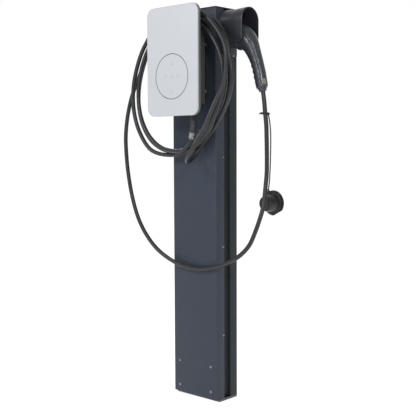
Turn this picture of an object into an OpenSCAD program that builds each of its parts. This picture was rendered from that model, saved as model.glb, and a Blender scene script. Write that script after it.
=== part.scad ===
// Free-standing post with a wall charger on its front, a lead hung round the charger
// and a charging connector parked in a holster on its right side.
// Origin: centre of the post on the floor. +Z up, front of the post faces -Y. Millimetres.

/* [Post] */
// Height of the post over its cap
post_h = 1300; // [1290:1:1310]
// Width of the post
post_w = 194; // [190:1:198]
// Depth of the post
post_d = 106; // [104:1:108]
// Sheet thickness of the bent covers
sheet_t = 2; // [1.5:0.5:2.5]
// Depth of the front cover's side flanges
front_flange = 41; // [38:1:42]
// Depth of the rear profile's side flanges
rear_flange = 34; // [32:1:36]
// How far the side grooves are set in
groove_in = 13; // [11:1:15]
// Thickness of the base plate
base_t = 8; // [6:1:10]
// Thickness of the top cap
cap_t = 4; // [3:1:5]

/* [Anchors] */
// Anchor hole spacing across the post
anchor_x = 140; // [130:5:145]
// Anchor hole spacing front to back
anchor_y = 50; // [45:5:50]
// Radius of an anchor hole
anchor_r = 6; // [5:0.5:6.5]
// Radius of the cable entry in the base plate
entry_r = 22; // [18:1:22]

/* [Charger] */
// Width of the charger's front
panel_w = 226; // [220:1:230]
// Height of the charger's front
panel_h = 350; // [340:2:352]
// Corner radius of the charger's front
panel_r = 27; // [22:1:30]
// Distance from the post's face to the charger's front face
reach = 104; // [103:1:106]
// Radius of the status ring, at the middle of its line
ring_r = 72; // [68:1:74]

/* [Cable] */
// Diameter of the charging cable
cable_d = 14; // [13:0.5:14]
// Radius of the coil's bends, at the middle of its turns
coil_r = 197; // [196:1:198]
// Length of the straight run between the coil's upper and lower bends
coil_straight = 60; // [56:2:60]

/* [Connector] */
// Radius of the plug's shroud
plug_r = 28.5; // [27.5:0.5:28.5]
// Radius of the holster's hood
hood_r = 42; // [41:1:43]
// Reach of the hood from the post's side
hood_reach = 100; // [96:1:102]

/* [Hidden] */

half_w = post_w / 2;
half_d = post_d / 2;
// heights that follow the post's height
lift = post_h - 1300;
sheet_top = post_h - cap_t;
groove_y0 = -half_d + front_flange;
groove_y1 = half_d - rear_flange;
groove_x = half_w - groove_in;
cover_lip_gap = 0.3;

// four button-head screws low on the front, and the clips' screws along both sides
foot_screw_x = 71;
foot_screw_z = [33, 118];
side_screw_y = groove_y0 - 5;
side_screw_z = [for (i = [0:3]) 223 + i * 296.5 + lift];
foot_hole_r = 3.2;
side_hole_r = 2.1;

// inner equipment on the rail
rail_z = 760;
rail_half = 17.5;
lead_r = 6;
lead_bend = 40;
lead_y = 20;
lead_z = 1125 + lift;

// charger: planes along Y, front to back
face_y = -half_d - reach;
panel_y = face_y + 6.5;
frame_y = panel_y + 1;
frame_back_y = frame_y + 8.5;
housing_back_y = -half_d - 22;
panel_z1 = post_h - 1;
panel_z0 = panel_z1 - panel_h;
housing_x = 70;
housing_z0 = 985 + lift;
housing_z1 = 1245 + lift;
housing_top_r = 60;
housing_foot_r = 6;
wall = 3;
ring_z = 1075 + lift;
ring_line = 3;
boss_at = [[-65, 1008], [65, 1008], [-44, 1215], [44, 1215]];
bracket_x = 45;
bracket_foot = 16;
bracket_z0 = 1010 + lift;
bracket_z1 = 1200 + lift;
bracket_screw_z = [1030, 1180];

// cable: gland and sleeve under the charger
cable_r = cable_d / 2;
gland_x = 51;
gland_y = -108;
gland_z0 = 963 + lift;
sleeve_z0 = 893 + lift;
collar_z0 = 879 + lift;
bore_gap = 0.1;
coil_x = -20;
coil_z = 1045 + lift;
coil_half = 15;
coil_y0 = -125;
coil_y1 = -75;

// the bight: the lead's doubled end, tucked under the turns at the lower right
bight_route = [[183, -85, 1015], [163, -81, 979], [136, -75, 946], [103, -68, 910], [80, -64, 888],
    [61, -64, 869], [45, -68, 850], [34, -87, 822], [38, -116, 804], [56, -146, 803],
    [81, -165, 821], [102, -166, 849], [112, -160, 872], [121, -153, 890], [131, -147, 909],
    [144, -139, 946], [164, -125, 1001], [176, -121, 1030]];
// the long loop: from the coil's left side, down and across the post's front, to the right
loop_route = [[-210, -82, 1130], [-234, -83, 1085], [-254, -84, 1050], [-268, -85, 1022],
    [-281, -87, 980], [-290, -88, 940], [-296, -89, 885], [-295, -88, 825], [-288, -87, 760],
    [-270, -85, 675], [-243, -82, 600], [-205, -79, 543], [-153, -75, 495], [-82, -68, 459],
    [-20, -66, 446], [36, -65, 445], [105, -64, 458], [167, -65, 481], [208, -62, 506],
    [236, -53, 538], [254, -43, 584], [262, -34, 618], [266, -27, 642]];
// the drop: from the connector down to the long loop's end
drop_route = [[266.1, -26.7, 643], [267, -19, 668], [266, -12, 697], [265, -6, 728], [265, -1, 763],
    [265, 0, 812], [264, 0, 870], [262, 0, 921], [258, 0, 953], [254, 0, 991], [249, 0, 1022]];
tube_sides = 10;

// holster and connector, on the right side of the post
plug_z = 1199 + lift;
hood_z = 1249 + lift;
hood_foot_z = 1182 + lift;
hood_wall = 3;
plate_t = 4;
plate_x = half_w + plate_t;
socket_x1 = 138;
fit_gap = 0.3;
head_x = 150;
// the handle's middle line and its radius at each point, from the plug's head to the lead's end
handle_line = [[150, 0, 1199], [155, 0, 1199], [162, 0, 1198.6], [172, 0, 1195], [184, 0, 1187],
    [196, 0, 1174], [208, 0, 1153], [219, 0, 1129], [228, 0, 1104], [235, 0, 1080], [240, 0, 1058],
    [246, 0, 1034]];
handle_rad = [37, 37.5, 37, 36, 33, 29, 24, 20.5, 19.5, 19.5, 19.5, 16];
handle_wall = 3;
head_hole_r = 26;
handle_sides = 28;
nut_tilt = 166;
nut_len = 12;
contact_at = [[0, 0, 3.5], [14.8, 0, 3.5], [-14.8, 0, 3.5], [8.2, -13, 3.5], [-8.2, -13, 3.5],
    [7.5, 13, 2.6], [-7.5, 13, 2.6]];

// dust cap, hung from a ring on the drop
pivot = [260.5, 12.5, 953];
pivot_r = 2;
pivot_gap = 0.05;
ring_x = 258;
cup_at = [252, 54, 668];
cup_turn = -28;
cup_depth = 50;
flange_r = 41;
flange_cut = 36;
cup_r = 30;
cup_end_r = 24;
rivet_up = 44.5;
lug_y = -9;
strap_route = [[260.5, 12.5, 950], [265, 13, 932], [267, 16, 895], [264.5, 20, 850],
    [258, 27, 805], [251, 34, 768], [243, 41, 735], [235, 47, 711.5]];
strap_r = 2;

// ---- sweeping a round tube along a route ----
function raised(route) = [for (p = route) [p[0], p[1], p[2] + lift]];
function unit(v) = v / norm(v);
function spline_point(a, b, c, d, t) = 0.5 * (2 * b + (c - a) * t + (2 * a - 5 * b + 4 * c - d) * t * t
    + (3 * b - a - 3 * c + d) * t * t * t);
// a smooth curve through the route's points, with a number of steps from each to the next
function smooth(route, steps) = let (n = len(route) - 1) concat([for (i = [0:n - 1], j = [0:steps - 1])
    let (a = i == 0 ? 2 * route[0] - route[1] : route[i - 1],
         d = i == n - 1 ? 2 * route[n] - route[n - 1] : route[i + 2])
    spline_point(a, route[i], route[i + 1], d, j / steps)], [route[n]]);
function heading(line, i) = unit(line[min(i + 1, len(line) - 1)] - line[max(i - 1, 0)]);
// a side direction carried from ring to ring without twisting
function carried(line, i) = i == 0
    ? let (h = heading(line, 0), up = abs(h[1]) < 0.9 ? [0, 1, 0] : [1, 0, 0]) unit(up - (up * h) * h)
    : let (h = heading(line, i), s = carried(line, i - 1)) unit(s - (s * h) * h);
function ring_at(c, h, s, r, sides) = let (o = cross(h, s)) [for (k = [0:sides - 1])
    c + r * (cos(360 * k / sides) * s + sin(360 * k / sides) * o)];
function tube_faces(rings, sides) = concat([[for (k = [0:sides - 1]) k]],
    [for (i = [0:rings - 2], k = [0:sides - 1]) let (m = (k + 1) % sides)
        [i * sides + k, (i + 1) * sides + k, (i + 1) * sides + m, i * sides + m]],
    [[for (k = [sides - 1:-1:0]) (rings - 1) * sides + k]]);

module tube(line, radii, sides) {
    points = [for (i = [0:len(line) - 1])
        each ring_at(line[i], heading(line, i), carried(line, i), radii[i], sides)];
    polyhedron(points = points, faces = tube_faces(len(line), sides));
}

module cable(route, steps) {
    line = smooth(raised(route), steps);
    tube(line, [for (p = line) cable_r], tube_sides);
}

// ---- helpers ----
// a flat outline in X and Z, given thickness from y0 to y1
module along_y(y0, y1) {
    translate([0, y1, 0]) rotate([90, 0, 0]) linear_extrude(y1 - y0) children();
}

// a flat outline in Y and Z, given thickness from x0 to x1
module along_x(x0, x1) {
    translate([x0, 0, 0]) rotate([90, 0, 90]) linear_extrude(x1 - x0) children();
}

module both_sides() {
    children();
    mirror([1, 0, 0]) children();
}

module rounded(x0, y0, x1, y1, r) {
    translate([x0 + r, y0]) square([x1 - x0 - 2 * r, y1 - y0]);
    translate([x0, y0 + r]) square([x1 - x0, y1 - y0 - 2 * r]);
    for (x = [x0 + r, x1 - r], y = [y0 + r, y1 - r]) translate([x, y]) circle(r, $fn = 64);
}

// a low domed screw head with a hexagon socket, its face towards -Z, and its shank towards +Z
module button_screw(head_r, head_h, shank_r, shank_l) {
    dome_r = (head_r * head_r + head_h * head_h) / (2 * head_h);
    difference() {
        intersection() {
            translate([0, 0, dome_r - head_h]) sphere(dome_r, $fn = 64);
            translate([0, 0, -head_h]) cylinder(r = head_r, h = head_h, $fn = 48);
        }
        translate([0, 0, -head_h - 1]) cylinder(r = head_r * 0.38, h = head_h * 0.6 + 1, $fn = 6);
    }
    cylinder(r = shank_r, h = shank_l, $fn = 32);
}

// ---- post ----
module base_plate() {
    color("#2f3236") difference() {
        translate([-half_w, -half_d + 15, 0]) cube([post_w, post_d - 17, base_t]);
        for (x = [-1, 1], y = [-1, 1]) translate([x * anchor_x / 2, y * anchor_y / 2, -1])
            cylinder(r = anchor_r, h = base_t + 2, $fn = 48);
        translate([0, 0, -1]) cylinder(r = entry_r, h = base_t + 2, $fn = 64);
    }
}

// one bent sheet: back, side flanges, steps into the grooves, groove floors and front lips
module rear_profile() {
    lip = 22;
    color("#3b3f42") difference() {
        translate([0, 0, base_t]) linear_extrude(sheet_top - base_t) {
            translate([-half_w, half_d - sheet_t]) square([post_w, sheet_t]);
            both_sides() {
                translate([half_w - sheet_t, groove_y1]) square([sheet_t, rear_flange]);
                translate([groove_x - sheet_t, groove_y1]) square([groove_in + sheet_t, sheet_t]);
                translate([groove_x - sheet_t, groove_y0])
                    square([sheet_t, groove_y1 - groove_y0 + sheet_t]);
                translate([groove_x - lip, groove_y0]) square([lip, sheet_t]);
            }
        }
        translate([half_w - 10, 32, 1149 + lift]) rotate([0, 90, 0]) cylinder(r = 2.75, h = 20, $fn = 32);
        translate([half_w - 10, 30, 1240 + lift]) rotate([0, 90, 0]) cylinder(r = 2.75, h = 20, $fn = 32);
    }
}

module front_cover() {
    color("#43474e") difference() {
        translate([0, 0, base_t + 1]) linear_extrude(sheet_top - base_t - 1) {
            translate([-half_w, -half_d]) square([post_w, sheet_t]);
            both_sides() {
                translate([half_w - sheet_t, -half_d]) square([sheet_t, front_flange]);
                translate([groove_x + cover_lip_gap, groove_y0 - sheet_t])
                    square([groove_in - cover_lip_gap, sheet_t]);
            }
        }
        for (x = [-1, 1], z = foot_screw_z) translate([x * foot_screw_x, -half_d - 1, z])
            rotate([-90, 0, 0]) cylinder(r = foot_hole_r, h = 5, $fn = 32);
        for (z = side_screw_z) translate([-half_w - 1, side_screw_y, z])
            rotate([0, 90, 0]) cylinder(r = side_hole_r, h = post_w + 2, $fn = 32);
        for (x = [-1, 1], z = bracket_screw_z)
            translate([x * (bracket_x + bracket_foot / 2), -half_d - 1, z + lift])
            rotate([-90, 0, 0]) cylinder(r = 2.75, h = 5, $fn = 32);
        translate([0, -half_d - 1, lead_z]) rotate([-90, 0, 0]) cylinder(r = 14, h = 5, $fn = 48);
        translate([half_w - 5, -26, 1240 + lift]) rotate([0, 90, 0]) cylinder(r = 2.75, h = 8, $fn = 32);
    }
}

module top_cap() {
    color("#3f4347") {
        translate([-half_w, -half_d, sheet_top]) cube([post_w, post_d, cap_t]);
        for (y = [-half_d + sheet_t + 0.5, half_d - sheet_t - 3.5])
            translate([-60, y, sheet_top - 12]) cube([120, 3, 12]);
    }
}

module foot_bracket() {
    front = -half_d + sheet_t + 0.2;
    color("#8b8f93") difference() {
        union() {
            translate([-85, front, base_t]) cube([170, 3, 132]);
            translate([-60, front, base_t]) cube([120, 30, 3]);
        }
        for (x = [-1, 1], z = foot_screw_z) translate([x * foot_screw_x, front - 1, z])
            rotate([-90, 0, 0]) cylinder(r = 2.6, h = 5, $fn = 32);
    }
}

module foot_screws() {
    color("#c9cbcd") for (x = [-1, 1], z = foot_screw_z) translate([x * foot_screw_x, -half_d, z])
        rotate([-90, 0, 0]) button_screw(5.2, 2.6, 2.5, 8);
}

// a clip on each front lip that takes the side screws
module cover_clips() {
    clip_h = 24;
    color("#8b8f93") for (z = side_screw_z) both_sides() difference() {
        translate([0, 0, z - clip_h / 2]) linear_extrude(clip_h) polygon([
            [groove_x - 20, groove_y0], [groove_x - 0.1, groove_y0],
            [groove_x - 0.1, groove_y0 - sheet_t - 0.3],
            [half_w - sheet_t - 0.1, groove_y0 - sheet_t - 0.3],
            [half_w - sheet_t - 0.1, groove_y0 - 12], [groove_x - 20, groove_y0 - 12]]);
        translate([groove_x - 12, side_screw_y, z]) rotate([0, 90, 0]) cylinder(r = 1.9, h = 40, $fn = 32);
    }
}

module side_screws() {
    color("#c9cbcd") for (z = side_screw_z) both_sides() translate([half_w, side_screw_y, z])
        rotate([0, -90, 0]) button_screw(3.4, 1.4, 1.8, 14);
}

// ---- inside the post ----
module mounting_rail() {
    back = half_d - sheet_t;
    color("#b9bcbe") {
        translate([-60, back - 1.5, rail_z - rail_half + 5]) cube([120, 1.5, 2 * rail_half - 10]);
        for (s = [-1, 1]) {
            translate([-60, back - 7.5, rail_z + s * (rail_half - 5) - 0.75]) cube([120, 7.5, 1.5]);
            translate([-60, back - 7.5, rail_z + s * (rail_half - 2.5) - 2.5]) cube([120, 1.5, 5]);
        }
    }
}

module supply_terminals() {
    front = half_d - sheet_t - 46;
    color("#9aa0a4") for (i = [0:4]) difference() {
        translate([-52 + i * 10.2, front, rail_z - 26]) cube([10, 38.4, 52]);
        for (z = [-16, 16]) translate([-47 + i * 10.2, front - 1, rail_z + z])
            rotate([-90, 0, 0]) cylinder(r = 3, h = 12, $fn = 32);
    }
}

module circuit_breaker() {
    front = half_d - sheet_t - 60;
    color("#d9dbdc") {
        translate([16, half_d - sheet_t - 46, rail_z - 42]) cube([36, 38.4, 84]);
        translate([16, front, rail_z - 22]) cube([36, 14, 44]);
        translate([20, front - 6, rail_z - 5]) cube([28, 6, 10]);
    }
}

module earth_stud() {
    back = half_d - sheet_t;
    color("#c8a048") translate([50, back, 90]) rotate([90, 0, 0]) {
        cylinder(r = 4, h = 25, $fn = 32);
        translate([0, 0, 6]) cylinder(r = 7.4, h = 6.5, $fn = 6);
        translate([0, 0, 3]) cylinder(r = 8.5, h = 1.6, $fn = 48);
    }
}

// the charger's feed: up from the terminals, and through the front cover into the charger
module charger_lead() {
    bend_y = lead_y - lead_bend;
    color("#1c1d1f") {
        translate([0, lead_y, rail_z + 26]) cylinder(r = lead_r, h = lead_z - lead_bend - rail_z - 26, $fn = 40);
        translate([0, bend_y, lead_z - lead_bend]) rotate([90, 0, 90])
            rotate_extrude(angle = 90, $fn = 64) translate([lead_bend, 0]) circle(lead_r, $fn = 40);
        translate([0, bend_y, lead_z]) rotate([90, 0, 0])
            cylinder(r = lead_r, h = bend_y - housing_back_y + 8, $fn = 40);
    }
}

module lead_grommet() {
    color("#151617") translate([0, -half_d, lead_z]) rotate([-90, 0, 0]) difference() {
        union() {
            translate([0, 0, -2]) cylinder(r = 18, h = 2, $fn = 48);
            cylinder(r = 13.8, h = sheet_t, $fn = 48);
            translate([0, 0, sheet_t]) cylinder(r = 16, h = 2, $fn = 48);
        }
        translate([0, 0, -3]) cylinder(r = lead_r + 0.2, h = 10, $fn = 40);
    }
}

// ---- charger ----
module charger_bracket() {
    depth = -half_d - housing_back_y;
    color("#26282b") difference() {
        translate([0, 0, bracket_z0]) linear_extrude(bracket_z1 - bracket_z0) {
            translate([-bracket_x, housing_back_y]) square([2 * bracket_x, 2.5]);
            both_sides() {
                translate([bracket_x - 2.5, housing_back_y]) square([2.5, depth]);
                translate([bracket_x - 2.5, -half_d - 2.5]) square([bracket_foot + 2.5, 2.5]);
            }
        }
        translate([0, housing_back_y - 1, lead_z]) rotate([-90, 0, 0]) cylinder(r = 12, h = 5, $fn = 48);
        for (x = [-1, 1], z = bracket_screw_z)
            translate([x * (bracket_x + bracket_foot / 2), -half_d - 4, z + lift])
            rotate([-90, 0, 0]) cylinder(r = 2.75, h = 5, $fn = 32);
    }
}

module bracket_screws() {
    color("#8b8f93") for (x = [-1, 1], z = bracket_screw_z)
        translate([x * (bracket_x + bracket_foot / 2), -half_d - 2.5, z + lift])
        rotate([-90, 0, 0]) {
            button_screw(5, 2.4, 2.6, 12);
            translate([0, 0, 4.6]) difference() {
                cylinder(r = 5.2, h = 4, $fn = 6);
                translate([0, 0, -1]) cylinder(r = 2.65, h = 6, $fn = 32);
            }
        }
}

module housing_outline(inset) {
    x = housing_x - inset;
    z0 = housing_z0 + inset;
    z1 = housing_z1 - inset;
    top_r = housing_top_r - inset;
    foot_r = housing_foot_r - inset;
    translate([-x + foot_r, z0]) square([2 * (x - foot_r), foot_r]);
    translate([-x, z0 + foot_r]) square([2 * x, z1 - z0 - foot_r - top_r]);
    translate([-x + top_r, z1 - top_r]) square([2 * (x - top_r), top_r]);
    for (s = [-1, 1]) {
        translate([s * (x - foot_r), z0 + foot_r]) circle(foot_r, $fn = 48);
        translate([s * (x - top_r), z1 - top_r]) circle(top_r, $fn = 96);
    }
}

// an open box behind the panel, which the cable also hangs on
module rear_housing() {
    color("#1b1c1e") difference() {
        union() {
            difference() {
                along_y(frame_back_y, housing_back_y) housing_outline(0);
                along_y(frame_back_y - 1, housing_back_y - wall) housing_outline(wall);
            }
            for (b = boss_at) translate([b[0], frame_back_y, b[1] + lift]) rotate([-90, 0, 0])
                cylinder(r = 5, h = housing_back_y - frame_back_y - 1, $fn = 32);
        }
        for (b = boss_at) translate([b[0], frame_back_y - 1, b[1] + lift]) rotate([-90, 0, 0])
            cylinder(r = 1.5, h = 15, $fn = 24);
        translate([0, housing_back_y - wall - 1, lead_z]) rotate([-90, 0, 0])
            cylinder(r = lead_r + 0.3, h = wall + 2, $fn = 40);
        translate([gland_x, gland_y, housing_z0 - 1]) cylinder(r = 12.1, h = wall + 2, $fn = 48);
    }
}

module panel_outline(inset) {
    rounded(-panel_w / 2 + inset, panel_z0 + inset, panel_w / 2 - inset, panel_z1 - inset, panel_r - inset);
}

module panel_frame() {
    color("#a9aeab") difference() {
        along_y(frame_y, frame_back_y) panel_outline(0);
        along_y(frame_y - 1, frame_back_y - 2.5) panel_outline(4);
        along_y(frame_y, frame_back_y + 1) rounded(-42, 1012 + lift, 42, 1206 + lift, 8);
        for (b = boss_at) translate([b[0], frame_y, b[1] + lift]) rotate([-90, 0, 0])
            cylinder(r = 1.8, h = 12, $fn = 24);
    }
}

module panel_seal() {
    color("#3a3c3e") difference() {
        along_y(panel_y, frame_y) panel_outline(1.6);
        along_y(panel_y - 1, frame_y + 1) panel_outline(3.6);
    }
}

// outlines of the five status icons, in X and Z
module icon_shapes(grow) {
    bar = 1.8 + grow;
    translate([-6 - grow / 2, ring_z + 38 - 5.5 - grow / 2]) square([bar, 11 + grow]);
    translate([6 - bar + grow / 2, ring_z + 38 - 5.5 - grow / 2]) square([bar, 11 + grow]);
    translate([-6, ring_z + 38 - bar / 2]) square([12, bar]);
    for (x = [-27, 0, 27]) translate([x, ring_z + 1]) circle(5.5 + grow / 2, $fn = 48);
    translate([-5.5 - grow / 2, ring_z - 46 - 5.5 - grow / 2]) square([11 + grow, 11 + grow]);
}

module front_panel() {
    color("#d9dade") difference() {
        along_y(face_y, panel_y) panel_outline(0);
        along_y(face_y + 3, panel_y + 1) panel_outline(4);
        translate([0, face_y, ring_z]) rotate([-90, 0, 0]) translate([0, 0, -1]) difference() {
            cylinder(r = ring_r + ring_line / 2 + 0.1, h = 3.2, $fn = 128);
            translate([0, 0, -1]) cylinder(r = ring_r - ring_line / 2 - 0.1, h = 6, $fn = 128);
        }
        along_y(face_y - 1, face_y + 4) icon_shapes(0.2);
    }
}

module status_ring() {
    color("#55585c") translate([0, face_y + 0.1, ring_z]) rotate([-90, 0, 0]) difference() {
        cylinder(r = ring_r + ring_line / 2, h = 2, $fn = 128);
        translate([0, 0, -1]) cylinder(r = ring_r - ring_line / 2, h = 4, $fn = 128);
    }
}

module status_icons() {
    color("#a4a7ab") along_y(face_y + 0.1, face_y + 3) icon_shapes(0);
}

module status_board() {
    color("#1f5a3a") along_y(face_y + 5, face_y + 6.6) rounded(-80, ring_z - 78, 80, ring_z + 78, 4);
    color("#e8e8e0") for (a = [0:15:345])
        translate([ring_r * cos(a) - 2, face_y + 3.6, ring_z + ring_r * sin(a) - 2]) cube([4, 1.4, 4]);
}

module power_board() {
    back = housing_back_y - wall;
    color("#1f5a3a") difference() {
        along_y(back - 6, back - 4.4) rounded(-60, 1016 + lift, 60, 1205 + lift, 4);
        translate([0, back - 7, lead_z]) rotate([-90, 0, 0]) cylinder(r = 14, h = 5, $fn = 48);
    }
    color("#1b1c1e") for (x = [-54, 54], z = [1024, 1197])
        translate([x, back, z + lift]) rotate([90, 0, 0]) cylinder(r = 3, h = 4.4, $fn = 24);
}

module contactor() {
    board = housing_back_y - wall - 6;
    color("#c9c6ba") {
        translate([-52, board - 34, 1146 + lift]) cube([36, 34, 50]);
        translate([-48, board - 37, 1152 + lift]) cube([28, 3, 38]);
    }
}

// a ring round the outgoing cores, on a foot from the board
module current_sensor() {
    board = housing_back_y - wall - 6;
    color("#2b3f6b") {
        translate([gland_x, gland_y, 1024 + lift]) difference() {
            cylinder(r = 14, h = 14, $fn = 48);
            translate([0, 0, -1]) cylinder(r = cable_r + 1, h = 16, $fn = 48);
        }
        translate([gland_x - 5, gland_y + 13, 1024 + lift]) cube([10, board - gland_y - 13, 14]);
    }
}

module output_terminals() {
    board = housing_back_y - wall - 6;
    color("#3f7f52") for (i = [0:4]) difference() {
        translate([18 + i * 8.2, board - 22, 1056 + lift]) cube([8, 22, 20]);
        translate([22 + i * 8.2, board - 23, 1066 + lift]) rotate([-90, 0, 0]) cylinder(r = 2.4, h = 10, $fn = 24);
    }
}

module frame_screws() {
    color("#8b8f93") for (b = boss_at) translate([b[0], frame_back_y - 2.5, b[1] + lift])
        rotate([-90, 0, 0]) button_screw(3.2, 1.6, 1.4, 14);
}

// ---- gland, sleeve and the cable ----
module gland_body() {
    color("#1a1b1d") translate([gland_x, gland_y, 0]) difference() {
        union() {
            translate([0, 0, gland_z0]) cylinder(r = 15, h = 6, $fn = 48);
            translate([0, 0, gland_z0 + 6]) cylinder(r = 17, h = housing_z0 - gland_z0 - 6, $fn = 6);
            translate([0, 0, housing_z0 - 1]) cylinder(r = 12, h = 13, $fn = 48);
        }
        translate([0, 0, gland_z0 - 1]) cylinder(r = cable_r + bore_gap, h = 50, $fn = 40);
    }
}

module gland_locknut() {
    color("#2b2d30") translate([gland_x, gland_y, housing_z0 + wall]) difference() {
        rotate([0, 0, 30]) cylinder(r = 14.5, h = 5, $fn = 6);
        translate([0, 0, -1]) cylinder(r = 12.1, h = 8, $fn = 48);
    }
}

// a ribbed sleeve that keeps the cable from kinking
module cable_sleeve() {
    ribs = 12;
    pitch = (gland_z0 - sleeve_z0) / ribs;
    color("#1a1b1d") translate([gland_x, gland_y, sleeve_z0]) difference() {
        union() {
            cylinder(r = 9.4, h = gland_z0 - sleeve_z0, $fn = 40);
            for (i = [0:ribs - 1]) translate([0, 0, i * pitch]) cylinder(r = 11.5, h = pitch * 0.55, $fn = 40);
        }
        translate([0, 0, -1]) cylinder(r = cable_r + bore_gap, h = 80, $fn = 40);
    }
}

module sleeve_collar() {
    color("#b8babd") translate([gland_x, gland_y, collar_z0]) difference() {
        union() {
            cylinder(r = 10.4, h = sleeve_z0 - collar_z0, $fn = 48);
            translate([0, 0, 4]) cylinder(r = 11.2, h = 6, $fn = 48);
        }
        translate([0, 0, -1]) cylinder(r = cable_r + bore_gap, h = 20, $fn = 40);
    }
}

// the cable from the output terminals, through the gland and sleeve, into the coil
module cable_lead() {
    foot = 845 + lift;
    color("#26272b") translate([gland_x, gland_y, foot]) cylinder(r = cable_r, h = 200, $fn = 40);
}

module coil_outline(r) {
    for (s = [-1, 1]) translate([coil_x, coil_z + s * coil_straight / 2]) circle(r, $fn = 160);
    translate([coil_x - r, coil_z - coil_straight / 2]) square([2 * r, coil_straight]);
}

// the outer shape of the turns that hang round the charger
module cable_coil() {
    color("#26272b") along_y(coil_y0, coil_y1) difference() {
        coil_outline(coil_r + coil_half);
        coil_outline(coil_r - coil_half);
    }
}

module cable_bight() {
    color("#26272b") cable(bight_route, 1);
}

module cable_loop() {
    color("#26272b") cable(loop_route, 2);
}

module cable_drop() {
    color("#26272b") cable(drop_route, 1);
}

// ---- holster ----
module holster_plate() {
    color("#1a1b1d") difference() {
        along_x(half_w, plate_x) {
            translate([0, hood_z]) circle(hood_r, $fn = 128);
            polygon([[-hood_r, hood_z], [-hood_r, 1186 + lift], [-10, 1164 + lift], [21, 1144 + lift],
                [49, 1144 + lift], [49, 1262 + lift], [hood_r - 2, hood_z + 20], [0, hood_z]]);
        }
        for (p = [[32, 1149], [30, 1240], [-26, 1240]]) translate([half_w - 1, p[0], p[1] + lift])
            rotate([0, 90, 0]) cylinder(r = 2.75, h = plate_t + 2, $fn = 32);
    }
}

// an inverted U over the plug, open at its end and below, its lower front corners rounded
module holster_hood() {
    corner = 16;
    end_x = half_w + hood_reach;
    inner = hood_r - hood_wall;
    color("#17181a") difference() {
        along_x(plate_x, end_x) difference() {
            union() {
                translate([0, hood_z]) circle(hood_r, $fn = 128);
                translate([-hood_r, hood_foot_z]) square([2 * hood_r, hood_z - hood_foot_z]);
            }
            translate([0, hood_z]) circle(inner, $fn = 128);
            translate([-inner, hood_foot_z - 1]) square([2 * inner, hood_z - hood_foot_z + 1]);
        }
        difference() {
            translate([end_x - corner, -hood_r - 1, hood_foot_z - 1]) cube([corner + 1, 2 * hood_r + 2, corner + 1]);
            translate([end_x - corner, -hood_r - 2, hood_foot_z + corner]) rotate([-90, 0, 0])
                cylinder(r = corner, h = 2 * hood_r + 4, $fn = 64);
        }
    }
}

module holster_socket() {
    color("#1f2022") translate([plate_x, 0, plug_z]) rotate([0, 90, 0]) difference() {
        cylinder(r = 33, h = socket_x1 - plate_x, $fn = 96);
        translate([0, 0, 2]) cylinder(r = plug_r + fit_gap, h = socket_x1, $fn = 96);
    }
}

module holster_screws() {
    color("#8b8f93") for (p = [[32, 1149], [30, 1240], [-26, 1240]])
        translate([plate_x, p[0], p[1] + lift]) rotate([0, -90, 0]) button_screw(4.6, 2.2, 2.6, 12);
}

// ---- connector ----
// one ring of half a shell: round the outside, then back round the inside
function half_ring(c, h, side, outer, inner, n) = let (o = cross(h, [0, 1, 0]),
    turn = [for (k = [0:n]) let (a = side > 0 ? 180 - 180 * k / n : 180 * k / n)
        cos(a) * o + sin(a) * [0, side, 0]])
    concat([for (k = [0:n]) c + outer * turn[k]], [for (k = [n:-1:0]) c + inner * turn[k]]);

// half of the handle's shell, hollow, with a hole at the plug for the wires and one for the cable
module handle_half(side) {
    line = smooth(raised(handle_line), 2);
    n = len(line) - 1;
    half = handle_sides / 2;
    ring = 2 * half + 2;
    radii = [for (i = [0:n]) let (k = floor(i / 2), f = i / 2 - k)
        handle_rad[k] * (1 - f) + handle_rad[min(k + 1, len(handle_rad) - 1)] * f];
    points = [for (i = [0:n]) each half_ring(line[i], heading(line, i), side, radii[i],
        i == 0 ? head_hole_r : radii[i] - handle_wall, half)];
    walls = [for (i = [0:n - 1], k = [0:ring - 1]) let (m = (k + 1) % ring)
        [i * ring + k, (i + 1) * ring + k, (i + 1) * ring + m, i * ring + m]];
    first = [for (k = [0:half - 1]) [k, k + 1, ring - 2 - k, ring - 1 - k]];
    last = [for (f = first) [for (q = [3:-1:0]) n * ring + f[q]]];
    polyhedron(points = points, faces = concat(walls, first, last));
}

module handle_left() {
    color("#26282c") handle_half(-1);
}

module handle_right() {
    color("#26282c") handle_half(1);
}

module plug_shroud() {
    color("#1c1d20") difference() {
        translate([104, 0, plug_z]) rotate([0, 90, 0]) cylinder(r = plug_r, h = head_x - 105, $fn = 96);
        translate([103, 0, plug_z]) rotate([0, 90, 0]) cylinder(r = plug_r - 3, h = head_x - 100, $fn = 96);
        translate([103, -30, plug_z + 22]) cube([30, 60, 10]);
    }
}

module plug_insert() {
    color("#141517") difference() {
        translate([110, 0, plug_z]) rotate([0, 90, 0]) cylinder(r = plug_r - 3.2, h = head_x - 106, $fn = 96);
        for (c = contact_at) translate([109, c[0], plug_z + c[1]]) rotate([0, 90, 0])
            cylinder(r = c[2] + 0.1, h = 40, $fn = 40);
        translate([109, -30, plug_z + 21]) cube([24, 60, 10]);
    }
}

module plug_contacts() {
    color("#c8a048") for (c = contact_at) translate([112, c[0], plug_z + c[1]]) rotate([0, 90, 0])
        difference() {
            cylinder(r = c[2], h = 36.5, $fn = 40);
            translate([0, 0, -1]) cylinder(r = c[2] * 0.6, h = 26, $fn = 40);
        }
}

module plug_seal() {
    color("#101112") translate([head_x - 4, 0, plug_z]) rotate([0, 90, 0]) difference() {
        cylinder(r = 33, h = 3, $fn = 96);
        translate([0, 0, -1]) cylinder(r = plug_r + 0.1, h = 6, $fn = 96);
    }
}

module handle_screws() {
    color("#8b8f93") for (p = [[172, 1176], [222, 1120], [237, 1062]])
        translate([p[0], -11, p[1] + lift]) rotate([-90, 0, 0]) cylinder(r = 2, h = 22, $fn = 24);
}

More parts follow.
